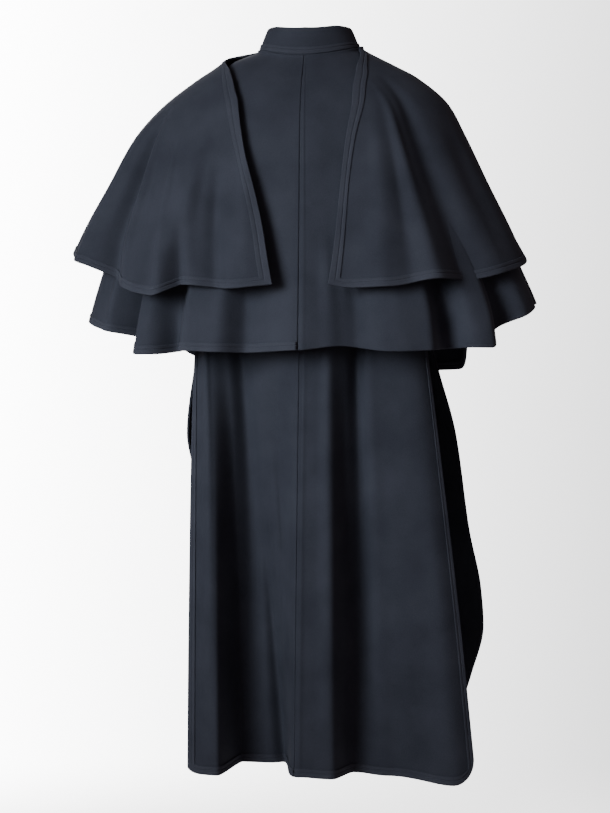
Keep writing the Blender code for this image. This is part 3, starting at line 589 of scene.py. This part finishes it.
def cape_surface(cape, turn, down):
    """An ellipse at each level, half width by depth, with each fold's distance added outwards. The
    fold grows with the 1.35th power of the share of the way from its start to the hem."""
    turn, down = np.broadcast_arrays(turn, down)
    top = neck_height(turn) + cape.top
    length = flowing(cape.folds, "level", turn) + top
    stretched = np.maximum(0.0, down - CAPE_YOKE) / (cape.length - CAPE_YOKE)
    drop = down + (length - cape.length) * stretched
    angle = np.radians(turn)
    half_width = np.where(turn >= 0, flowing(cape.form, "left", drop), flowing(cape.form, "right", drop))
    behind = np.cos(angle) >= 0
    depth = np.where(behind, flowing(cape.form, "back", drop), flowing(cape.form, "front", drop))
    out_x, out_y = np.sin(angle) / half_width, np.cos(angle) / depth
    size = np.hypot(out_x, out_y)
    start = waved(cape.folds, "start", turn)
    growth = np.maximum(0.0, (drop - start) / (length - start)) ** CAPE_FOLD_POWER
    out = waved(cape.folds, "out", turn) * growth + creases_out(cape.creases, turn, down)
    return stack(
        half_width * np.sin(angle) + out_x / size * out,
        depth * np.cos(angle) + out_y / size * out,
        top - drop,
    )


def lower_cape_surface(side):
    """The lower cape, its halves a seam apart, moved to the right at the centre back in proportion
    to the drop."""
    def surface(turn, down):
        points = cape_surface(LOWER_CAPE, turn, down)
        behind = np.maximum(0.0, np.cos(np.radians(turn))) ** 2
        points[..., 0] += side * SEAM / 2 - LOWER_CAPE_SWAY * behind * down / LOWER_CAPE_LENGTH
        return points
    return surface


def upper_cape_surface(cape, edges):
    """An upper cape, from 0 at its back edge to 1 at its front edge. The turn runs evenly from the
    back edge's to the front edge's, except that each edge band keeps its own width."""
    def surface(across, down):
        across, down = np.broadcast_arrays(across, down)
        back, front = flowing(edges, "back", down), flowing(edges, "front", down)
        radius = CAPE_TOP_RADIUS + CAPE_RADIUS_GAIN * smooth_step(down / CAPE_ROUND_DROP)
        margin = EDGE_BAND / (np.abs(np.radians(front - back)) * radius)
        between = margin + (1 - 2 * margin) * (across - BAND_SHARE) / (1 - 2 * BAND_SHARE)
        place = np.where(across < BAND_SHARE, margin * across / BAND_SHARE, between)
        place = np.where(across > 1 - BAND_SHARE, 1 - margin * (1 - across) / BAND_SHARE, place)
        return cape_surface(cape, back + (front - back) * place, down)
    return surface


def coat_surface(panel):
    """A half panel of the coat. Across a level it runs from the centre to the panel's edge on a curve
    between a quarter ellipse and a flat bow. Near the top it goes over into the neck and shoulder
    line, and folds and creases lie straight out to the back or front. A lapped front rises over the
    other one."""
    side, sign, edge = panel.side, panel.sign, panel.edge

    def surface(across, drop):
        across, drop = np.broadcast_arrays(across, drop)
        half = np.abs(across)
        facing = np.where(across * side >= 0, side, -side)
        middle = flowing(COAT_MIDDLE, "back" if sign > 0 else "front", drop)
        depth = flowing(edge, "depth", drop) + SEAM / 2
        width = flowing(edge, "width", drop)
        roundness = flowing(edge, "round", drop)
        quarter = half * np.pi / 2
        reach = roundness * np.sin(quarter) + (1 - roundness) * half
        bow = roundness * np.cos(quarter) + (1 - roundness) * (1 - half ** 2)

        apart = (WALL + SEAM) / 2
        by_neck = np.minimum(half / NECK_SHARE, 1.0)
        neck_angle = by_neck * np.pi / 2
        turn = np.degrees(neck_angle) if sign > 0 else 180 - np.degrees(neck_angle)
        along = np.maximum(0.0, (half - NECK_SHARE) / (1 - NECK_SHARE))
        on_neck = half <= NECK_SHARE
        shoulder = NECK_HALF_WIDTH + (SHOULDER_WIDTH - NECK_HALF_WIDTH) * along
        top_x = facing * np.where(on_neck, NECK_HALF_WIDTH * np.sin(neck_angle), shoulder)
        top_y = np.where(on_neck, NECK_HALF_DEPTH * np.cos(neck_angle) + apart * by_neck ** NECK_EASE, apart)
        shoulder_z = NECK_OVERLAP - (SHOULDER_FALL + NECK_OVERLAP) * along
        top_z = np.where(on_neck, neck_height(turn) + NECK_OVERLAP, shoulder_z)

        formed = smooth_step(drop / YOKE)
        growth = np.maximum(0.0, (drop - COAT_FOLD_START) / (COAT_LENGTH - COAT_FOLD_START))
        out = waved(panel.folds, "out", across) * growth ** COAT_FOLD_POWER
        out = out + creases_out(panel.creases, across, drop)
        x = top_x + (facing * width * reach - top_x) * formed + side * SEAM / 2
        y = sign * (top_y + (depth + (middle - depth) * bow - top_y) * formed + out)
        if panel.lapped:
            y = y - FRONT_LAP_RISE * smooth_step((x + FRONT_LAP_START) / FRONT_LAP_RAMP)
        return stack(x, y, top_z * (1 - smooth_step(drop / UNDERARM)) - drop)

    def slid(across, drop):
        """The surface with its hem drawn up by its folds' lifts, and rounded up to the side edge on
        a quarter circle: by corner (1 - sqrt(1 - s^2)) at a share s of the way."""
        rounding = np.maximum(0.0, (np.abs(across) - CORNER_ACROSS) / (1 - CORNER_ACROSS))
        corner = panel.corner * (1 - np.sqrt(np.maximum(0.0, 1 - rounding ** 2)))
        low = smooth_step((drop - CORNER_START) / (COAT_LENGTH - CORNER_START))
        return surface(across, drop - (waved(panel.folds, "lift", across) + corner) * low)

    return slid


def collar_surface(turn, share):
    """The stand collar, an ellipse whose half width and depth shrink with the 1.3th power of the share
    of its height."""
    turn, share = np.broadcast_arrays(turn, share)
    angle = np.radians(turn)
    height = flowing(COLLAR_HEIGHTS, "height", np.abs(turn))
    lean = COLLAR_LEAN * np.maximum(share, 0.0) ** COLLAR_LEAN_POWER
    return stack(
        (NECK_HALF_WIDTH - lean) * np.sin(angle),
        (NECK_HALF_DEPTH - lean * COLLAR_DEPTH_LEAN) * np.cos(angle),
        neck_height(turn) + height * share,
    )


def directions(surface, across, down, step, flip):
    """The outward unit direction of a surface: the cross product of its two small differences."""
    along = surface(across + step, down) - surface(across - step, down)
    below = surface(across, down + DOWN_STEP) - surface(across, down - DOWN_STEP)
    out = np.cross(along, below) * flip
    return out / np.linalg.norm(out, axis=-1, keepdims=True)


def lengths(points, axis):
    """The distance along each line of a grid of points, from its first point."""
    step = np.linalg.norm(np.diff(points, axis=axis), axis=-1)
    start = np.zeros_like(np.take(step, [0], axis=axis))
    return np.concatenate((start, np.cumsum(step, axis=axis)), axis=axis)


def edge_distance(points):
    """For each point of a grid, the distance along the cloth to the nearest edge."""
    across, down = lengths(points, 1), lengths(points, 0)
    return np.minimum(
        np.minimum(across, across[:, -1:] - across),
        np.minimum(down, down[-1:, :] - down),
    )


def quads(index):
    """The corners of each square of a grid of point numbers."""
    corners = (index[:-1, :-1], index[1:, :-1], index[1:, 1:], index[:-1, 1:])
    return np.stack(corners, -1).reshape(-1, 4)


def shell(name, points, normals, inside, outside, material):
    """A closed wall over a grid of points, between two distances from them, of which the outer one
    may differ from row to row. Its thickness falls to nothing at the edge along a half circle: the
    square root of 1 - (1 - d / r)^2 at a distance d."""
    rows, columns = points.shape[:2]
    near = np.clip(edge_distance(points) / (np.max(outside - inside) / 2), 0.0, 1.0)
    rounding = np.sqrt(1 - (1 - near) ** 2)[..., None]
    outside = np.broadcast_to(outside, (rows, columns))[..., None]
    half = (outside - inside) / 2
    centre = points + normals * (inside + outside) / 2
    front = centre + normals * half * rounding
    back = centre - normals * half * rounding

    # The wall's two faces share their points along the edge.
    front_index = np.arange(rows * columns).reshape(rows, columns)
    back_index = front_index.copy()
    inner = (rows - 2) * (columns - 2)
    back_index[1:-1, 1:-1] = rows * columns + np.arange(inner).reshape(rows - 2, columns - 2)
    vertices = np.concatenate((front.reshape(-1, 3), back[1:-1, 1:-1].reshape(-1, 3)))

    along, below = points[0, 1] - points[0, 0], points[1, 0] - points[0, 0]
    front_faces, back_faces = quads(front_index), quads(back_index)
    if np.dot(np.cross(below, along), normals[0, 0]) > 0:
        back_faces = back_faces[:, ::-1]
    else:
        front_faces = front_faces[:, ::-1]
    faces = np.concatenate((front_faces, back_faces))

    mesh = bpy.data.meshes.new(name)
    mesh.vertices.add(len(vertices))
    mesh.vertices.foreach_set("co", vertices.astype(np.float32).ravel())
    mesh.loops.add(faces.size)
    mesh.loops.foreach_set("vertex_index", faces.astype(np.int32).ravel())
    mesh.polygons.add(len(faces))
    mesh.polygons.foreach_set("loop_start", np.arange(0, faces.size, 4, dtype=np.int32))
    mesh.update(calc_edges=True)
    mesh.shade_smooth()

    # Across the flat cloth a place is measured from its middle, and down it from its top.
    across = lengths(points, 1)
    flat = np.stack((across - across[:, columns // 2][:, None], lengths(points, 0)), -1)
    flat = np.concatenate((flat.reshape(-1, 2), flat[1:-1, 1:-1].reshape(-1, 2)))
    uv = mesh.uv_layers.new(name="cloth")
    uv.data.foreach_set("uv", flat[faces.ravel()].astype(np.float32).ravel())

    mesh.materials.append(material)
    piece = bpy.data.objects.new(name, mesh)
    bpy.context.collection.objects.link(piece)
    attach(piece, "root")
    return piece


def set_inputs(node, inputs):
    """Some of a node's inputs, each set by its name or its number."""
    for key, value in inputs.items():
        node.inputs[key].default_value = value


def add_node(tree, kind, inputs=None, **settings):
    """A new node with its settings made and some of its inputs set."""
    node = tree.nodes.new(kind)
    for setting, value in settings.items():
        setattr(node, setting, value)
    set_inputs(node, inputs or {})
    return node


def wool_material(name, dark, light, nap=1.0):
    """Matte coat wool: two close shades in soft clouds, a fine twill in the bump and a short nap. The
    shade runs from dark to light with CLOUD_SHARE clouds + FIBRE_SHARE fibres."""
    material = bpy.data.materials.new(name)
    material.use_nodes = True
    tree = material.node_tree
    link = tree.links.new
    shader = tree.nodes["Principled BSDF"]
    set_inputs(shader, {
        "Roughness": 0.88,
        "Specular IOR Level": 0.10,
        "Sheen Weight": 0.03,
        "Sheen Roughness": 0.55,
        "Sheen Tint": (0.55, 0.62, 0.85, 1.0),
    })

    place = add_node(tree, "ShaderNodeTexCoord")
    clouds = add_node(tree, "ShaderNodeTexNoise", {"Scale": 14.0, "Detail": 4.0})
    fibre = add_node(tree, "ShaderNodeTexNoise", {"Scale": 620.0, "Detail": 3.0, "Roughness": 0.7})
    cloud_part = add_node(tree, "ShaderNodeMath", {1: CLOUD_SHARE}, operation="MULTIPLY")
    shade = add_node(tree, "ShaderNodeMath", {1: FIBRE_SHARE}, operation="MULTIPLY_ADD")
    ramp = add_node(tree, "ShaderNodeValToRGB")
    for element, position, colour in zip(ramp.color_ramp.elements, SHADE_LIMITS, (dark, light)):
        element.position = position
        element.color = (*colour, 1.0)
    link(place.outputs["Object"], clouds.inputs["Vector"])
    link(place.outputs["Object"], fibre.inputs["Vector"])
    link(clouds.outputs["Fac"], cloud_part.inputs[0])
    link(fibre.outputs["Fac"], shade.inputs[0])
    link(cloud_part.outputs[0], shade.inputs[2])
    link(shade.outputs[0], ramp.inputs["Fac"])
    link(ramp.outputs["Color"], shader.inputs["Base Color"])

    flat = add_node(tree, "ShaderNodeUVMap", uv_map="cloth")
    twill = add_node(tree, "ShaderNodeTexWave", {"Scale": 260.0, "Distortion": 1.2, "Detail": 1.0},
                     wave_type="BANDS", bands_direction="DIAGONAL")
    weave = add_node(tree, "ShaderNodeBump", {"Strength": 0.10, "Distance": 0.0003})
    fuzz = add_node(tree, "ShaderNodeBump", {"Strength": NAP_STRENGTH * nap, "Distance": 0.0005})
    link(flat.outputs["UV"], twill.inputs["Vector"])
    link(twill.outputs["Fac"], weave.inputs["Height"])
    link(fibre.outputs["Fac"], fuzz.inputs["Height"])
    link(weave.outputs["Normal"], fuzz.inputs["Normal"])
    link(fuzz.outputs["Normal"], shader.inputs["Normal"])
    return material


coat_wool = wool_material("navy_coat_wool", dark=(0.0132, 0.0149, 0.0222), light=(0.0228, 0.0252, 0.0356))
cape_wool = wool_material("navy_cape_wool", dark=(0.0142, 0.0159, 0.0236), light=(0.0243, 0.0269, 0.0378))
# The bands' lighter shades are painted highlight: the same navy wool as the coat and capes, made lighter for
# the light that the raised bands catch.
band_wool_painted_highlight = wool_material("navy_band_wool", dark=(0.0182, 0.0200, 0.0290), light=(0.0292, 0.0318, 0.0438),
                          nap=0.6)


def trims(count, first, last, near=EDGE_LENGTHS):
    """Places from first to last, evenly spaced, with a few close to each end for its rounding."""
    span = last - first
    close = np.array(near) / span
    even = (np.linspace(first, last, count) - first) / span
    return np.unique(np.concatenate((even, close, 1 - close))) * span + first


def strip(name, surface, across, down, step, flip, replaced):
    """A stitched band on a panel's outer face, over a grid of places on the panel's own surface. The
    stitches sink it by STITCH_DEPTH exp(-(distance / STITCH_WIDTH)^2). Its wool is the panels' navy
    with a painted highlight: a lighter shade standing in for the light that the raised band catches."""
    points = surface(across, down)
    normals = directions(surface, across, down, step, flip)
    inside = WALL / 2 + SEAM
    groove = np.exp(-((BAND_SHARES - STITCH_SHARE) / STITCH_WIDTH) ** 2)[:, None]
    outside = inside + BAND_WALL - STITCH_DEPTH * groove
    piece = shell(name, points, normals, inside, outside, band_wool_painted_highlight)
    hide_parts(replaced)
    return piece


def around(first, last, bottom, widths, grid, top=0.0):
    """The places of a band that runs down a panel's first edge, along its hem and up its last edge,
    with mitred corners: at a share w of its width, its line is widths w and HEM_BAND w inside. A
    first edge whose width is 0 has no band."""
    share = BAND_SHARES[:, None]
    side_run = np.linspace(0.0, 1.0, grid.side)
    hem_run = np.linspace(0.0, 1.0, grid.across)
    left = first + widths[0] * share
    right = last - widths[1] * share
    low = bottom - HEM_BAND * share
    across = [left + (right - left) * hem_run, np.repeat(right, grid.side, axis=1)[:, 1:]]
    down = [np.repeat(low, grid.across, axis=1), (low + (top - low) * side_run)[:, 1:]]
    if widths[0]:
        across.insert(0, np.repeat(left, grid.side, axis=1)[:, :-1])
        down.insert(0, (top + (low - top) * side_run)[:, :-1])
    return np.concatenate(across, axis=1), np.concatenate(down, axis=1)


def make_lower_cape():
    """Both halves of the lower cape with their bands along the hem and the front edge."""
    grid, cut = LOWER_CAPE_GRID, CUTS["lower_cape"]
    end = 180 - LOWER_CAPE_OPENING
    even = np.linspace(0, end, grid.across)
    turns = np.sort(np.concatenate((even, CAPE_SEAM_TURNS, end - CAPE_SEAM_TURNS[:3])))
    width = math.degrees(EDGE_BAND / LOWER_CAPE_RADIUS)
    for name, side in (("left", 1), ("right", -1)):
        surface = lower_cape_surface(side)
        across, down = np.meshgrid(side * turns, trims(grid.down, 0.0, LOWER_CAPE_LENGTH))
        points = surface(across, down)
        normals = directions(surface, across, down, TURN_STEP, side)
        piece = shell(f"lower_cape_{name}_cloth", points, normals, -WALL / 2, WALL / 2,
                      cape_wool)
        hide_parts(f"lower_cape_{name}")
        places = around(0.0, side * end, LOWER_CAPE_LENGTH, (0.0, side * width), grid)
        band = strip(f"lower_cape_{name}_band", surface, *places, TURN_STEP, side,
                     f"lower_cape_band_{name}")


def make_upper_capes():
    """An upper cape over each shoulder with its band along the back edge, hem and front edge."""
    grid, cut = UPPER_CAPE_GRID, CUTS["upper_cape"]
    even = np.linspace(BAND_SHARE, 1 - BAND_SHARE, grid.across)
    columns = np.concatenate((CAPE_EDGE_SHARES, even, 1 - CAPE_EDGE_SHARES[::-1]))
    for name, folds, edges, creases, flip in (
        ("left", UPPER_LEFT_FOLDS, UPPER_LEFT_EDGES, UPPER_LEFT_CREASES, 1),
        ("right", UPPER_RIGHT_FOLDS, UPPER_RIGHT_EDGES, UPPER_RIGHT_CREASES, -1),
    ):
        cape = Cape(UPPER_CAPE_FORM, folds, UPPER_CAPE_TOP, UPPER_CAPE_LENGTH, creases)
        surface = upper_cape_surface(cape, edges)
        across, down = np.meshgrid(columns, trims(grid.down, 0.0, UPPER_CAPE_LENGTH))
        points = surface(across, down)
        normals = directions(surface, across, down, SHARE_STEP, flip)
        piece = shell(f"upper_cape_{name}_cloth", points, normals, -WALL / 2, WALL / 2,
                      cape_wool)
        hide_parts(f"upper_cape_{name}")
        places = around(0.0, 1.0, UPPER_CAPE_LENGTH, (BAND_SHARE, BAND_SHARE), grid)
        band = strip(f"upper_cape_{name}_band", surface, *places, SHARE_STEP, flip,
                     f"upper_cape_band_{name}")


def make_coat():
    """The coat's back in two halves and its two fronts, with bands along the slits and the hem."""
    grid = COAT_GRID
    for face, sign, folds, creases in (
        ("back", 1, BACK_FOLDS, BACK_CREASES),
        ("front", -1, FRONT_FOLDS, FRONT_CREASES),
    ):
        for name, side in (("left", 1), ("right", -1)):
            key = f"{face}_{name}"
            edge = COAT_EDGES[key]
            lapped = key == "front_right"
            surface = coat_surface(Panel(side, sign, edge, folds, CORNER_RISE[key], lapped, creases))
            width = edge[-1].width
            lap = FRONT_LAP / width if face == "front" else 0.0
            seam = COAT_SEAM_WIDTHS / width
            even = np.linspace(-lap, 1.0, grid.across)
            columns = np.sort(np.concatenate((even, seam - lap, 1 - seam[:3])))
            across, down = np.meshgrid(side * columns, trims(grid.down, 0.0, COAT_LENGTH))
            points = surface(across, down)
            step, flip = SHARE_STEP * side, sign * side
            normals = directions(surface, across, down, step, flip)
            piece = shell(f"{key}_cloth", points, normals, -WALL / 2, WALL / 2, coat_wool)
            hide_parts(key)
            places = around(lap, side, COAT_LENGTH, (0.0, side * EDGE_BAND / width), grid, top=SLIT_TOP)
            band = strip(f"{key}_band", surface, *places, step, flip, f"{face}_band_{name}")


def make_collar():
    """The stand collar, open at the centre front, with a band round its base."""
    end = 180 - COLLAR_OPENING
    turns = trims(COLLAR_POINTS, -end, end, near=COLLAR_END_TURNS)
    across, down = np.meshgrid(turns, COLLAR_SHARES)
    points = collar_surface(across, down)
    normals = directions(collar_surface, across, down, TURN_STEP, -1)
    piece = shell("collar_cloth", points, normals, -WALL / 2, WALL / 2, coat_wool)
    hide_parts("collar")
    height = COLLAR_HEIGHTS[0].height
    low, high = COLLAR_BAND_BOTTOM / height, (COLLAR_BAND_BOTTOM + COLLAR_BAND_WIDTH) / height
    across, down = np.meshgrid(turns, low + (high - low) * BAND_SHARES)
    band = strip("collar_band_cloth", collar_surface, across, down, TURN_STEP, -1, "collar_band")


def make_lamp(lamp):
    """A soft square lamp that points at a place on the coat and isn't seen itself."""
    data = bpy.data.lights.new(lamp.name, "AREA")
    data.shape = "SQUARE"
    data.size = lamp.size
    data.spread = math.radians(lamp.spread)
    data.energy = lamp.power
    data.color = lamp.colour
    made = bpy.data.objects.new(lamp.name, data)
    made.location = lamp.place
    aim = Vector(lamp.target) - Vector(lamp.place)
    made.rotation_euler = aim.to_track_quat("-Z", "Y").to_euler()
    made.visible_camera = False
    bpy.context.collection.objects.link(made)


def floor_material():
    """A pale floor that glows only where it is seen, and fades out between two distances."""
    material = bpy.data.materials.new("pale_floor")
    material.use_nodes = True
    tree = material.node_tree
    link = tree.links.new
    shader = tree.nodes["Principled BSDF"]
    set_inputs(shader, {
        "Base Color": (0.80, 0.80, 0.81, 1.0),
        "Roughness": 0.9,
        "Emission Color": (1.0, 1.0, 1.0, 1.0),
    })
    path = add_node(tree, "ShaderNodeLightPath")
    seen = add_node(tree, "ShaderNodeMath", {1: FLOOR_GLOW}, operation="MULTIPLY")
    link(path.outputs["Is Camera Ray"], seen.inputs[0])
    link(seen.outputs[0], shader.inputs["Emission Strength"])
    place = add_node(tree, "ShaderNodeTexCoord")
    distance = add_node(tree, "ShaderNodeVectorMath", operation="LENGTH")
    fade = add_node(tree, "ShaderNodeMapRange", {
        "From Min": FLOOR_FADE_START,
        "From Max": FLOOR_FADE_END,
        "To Min": 1.0,
        "To Max": 0.0,
    }, interpolation_type="SMOOTHSTEP")
    link(place.outputs["Object"], distance.inputs[0])
    link(distance.outputs["Value"], fade.inputs["Value"])
    link(fade.outputs["Result"], shader.inputs["Alpha"])
    return material


def make_floor():
    """A round floor under the coat: rings of squares round a fan of triangles."""
    angle = np.linspace(0, 2 * np.pi, FLOOR_SPOKES, endpoint=False)
    reach = np.linspace(0, FLOOR_RADIUS, FLOOR_RINGS + 1)[1:]
    x = np.concatenate(([0.0], np.outer(reach, np.cos(angle)).ravel()))
    y = np.concatenate(([0.0], np.outer(reach, np.sin(angle)).ravel()))
    points = np.stack((x, y, np.full_like(x, FLOOR)), -1)
    index = 1 + np.arange(FLOOR_RINGS * FLOOR_SPOKES).reshape(FLOOR_RINGS, FLOOR_SPOKES)
    squares = quads(np.hstack((index, index[:, :1])))
    fan = np.stack((np.zeros(FLOOR_SPOKES, int), index[0], np.roll(index[0], -1)), -1)
    mesh = bpy.data.meshes.new("floor")
    mesh.from_pydata(points.tolist(), [], fan.tolist() + squares.tolist())
    floor = bpy.data.objects.new("floor", mesh)
    bpy.context.collection.objects.link(floor)
    mesh.materials.append(floor_material())


def make_world():
    """A pale studio. Its walls look brighter than the light that they give, and darken to the right
    and downwards: their brightness is e to the power of WALL_LEVEL plus direction . WALL_FALL, held
    between WALL_DARKEST and WALL_BRIGHTEST so that they are pale all round."""
    world = bpy.data.worlds.new("studio")
    bpy.context.scene.world = world
    world.use_nodes = True
    tree = world.node_tree
    link = tree.links.new
    glow = tree.nodes["Background"]
    set_inputs(glow, {"Color": AMBIENT_COLOUR, "Strength": AMBIENT})
    place = add_node(tree, "ShaderNodeTexCoord")
    fall = add_node(tree, "ShaderNodeVectorMath", {1: WALL_FALL}, operation="DOT_PRODUCT")
    level = add_node(tree, "ShaderNodeMath", {1: WALL_LEVEL}, operation="ADD")
    held = add_node(tree, "ShaderNodeClamp", {"Min": WALL_DARKEST, "Max": WALL_BRIGHTEST})
    brightness = add_node(tree, "ShaderNodeMath", operation="EXPONENT")
    wall = add_node(tree, "ShaderNodeBackground", {"Color": WALL_COLOUR})
    link(place.outputs["Generated"], fall.inputs[0])
    link(fall.outputs["Value"], level.inputs[0])
    link(level.outputs[0], held.inputs["Value"])
    link(held.outputs["Result"], brightness.inputs[0])
    link(brightness.outputs[0], wall.inputs["Strength"])
    path = add_node(tree, "ShaderNodeLightPath")
    mix = add_node(tree, "ShaderNodeMixShader")
    link(path.outputs["Is Camera Ray"], mix.inputs["Fac"])
    link(glow.outputs["Background"], mix.inputs[1])
    link(wall.outputs["Background"], mix.inputs[2])
    link(mix.outputs["Shader"], tree.nodes["World Output"].inputs["Surface"])


def make_camera():
    """The camera stands behind the coat, a little to the wearer's right, level with the thighs, and
    looks straight ahead."""
    angle = math.radians(CAMERA_AZIMUTH)
    place = Vector((CAMERA_DISTANCE * math.sin(angle), -CAMERA_DISTANCE * math.cos(angle), CAMERA_HEIGHT))
    data = bpy.data.cameras.new("camera")
    data.sensor_fit = "VERTICAL"
    data.sensor_height = CAMERA_SENSOR
    data.lens = CAMERA_LENS
    data.shift_x = CAMERA_SHIFT
    camera = bpy.data.objects.new("camera", data)
    camera.location = place
    camera.rotation_euler = Vector((-place.x, -place.y, 0.0)).to_track_quat("-Z", "Y").to_euler()
    bpy.context.collection.objects.link(camera)
    bpy.context.scene.camera = camera


make_coat()
make_lower_cape()
make_upper_capes()
make_collar()
make_floor()
make_world()
for lamp in LAMPS:
    make_lamp(lamp)
make_camera()
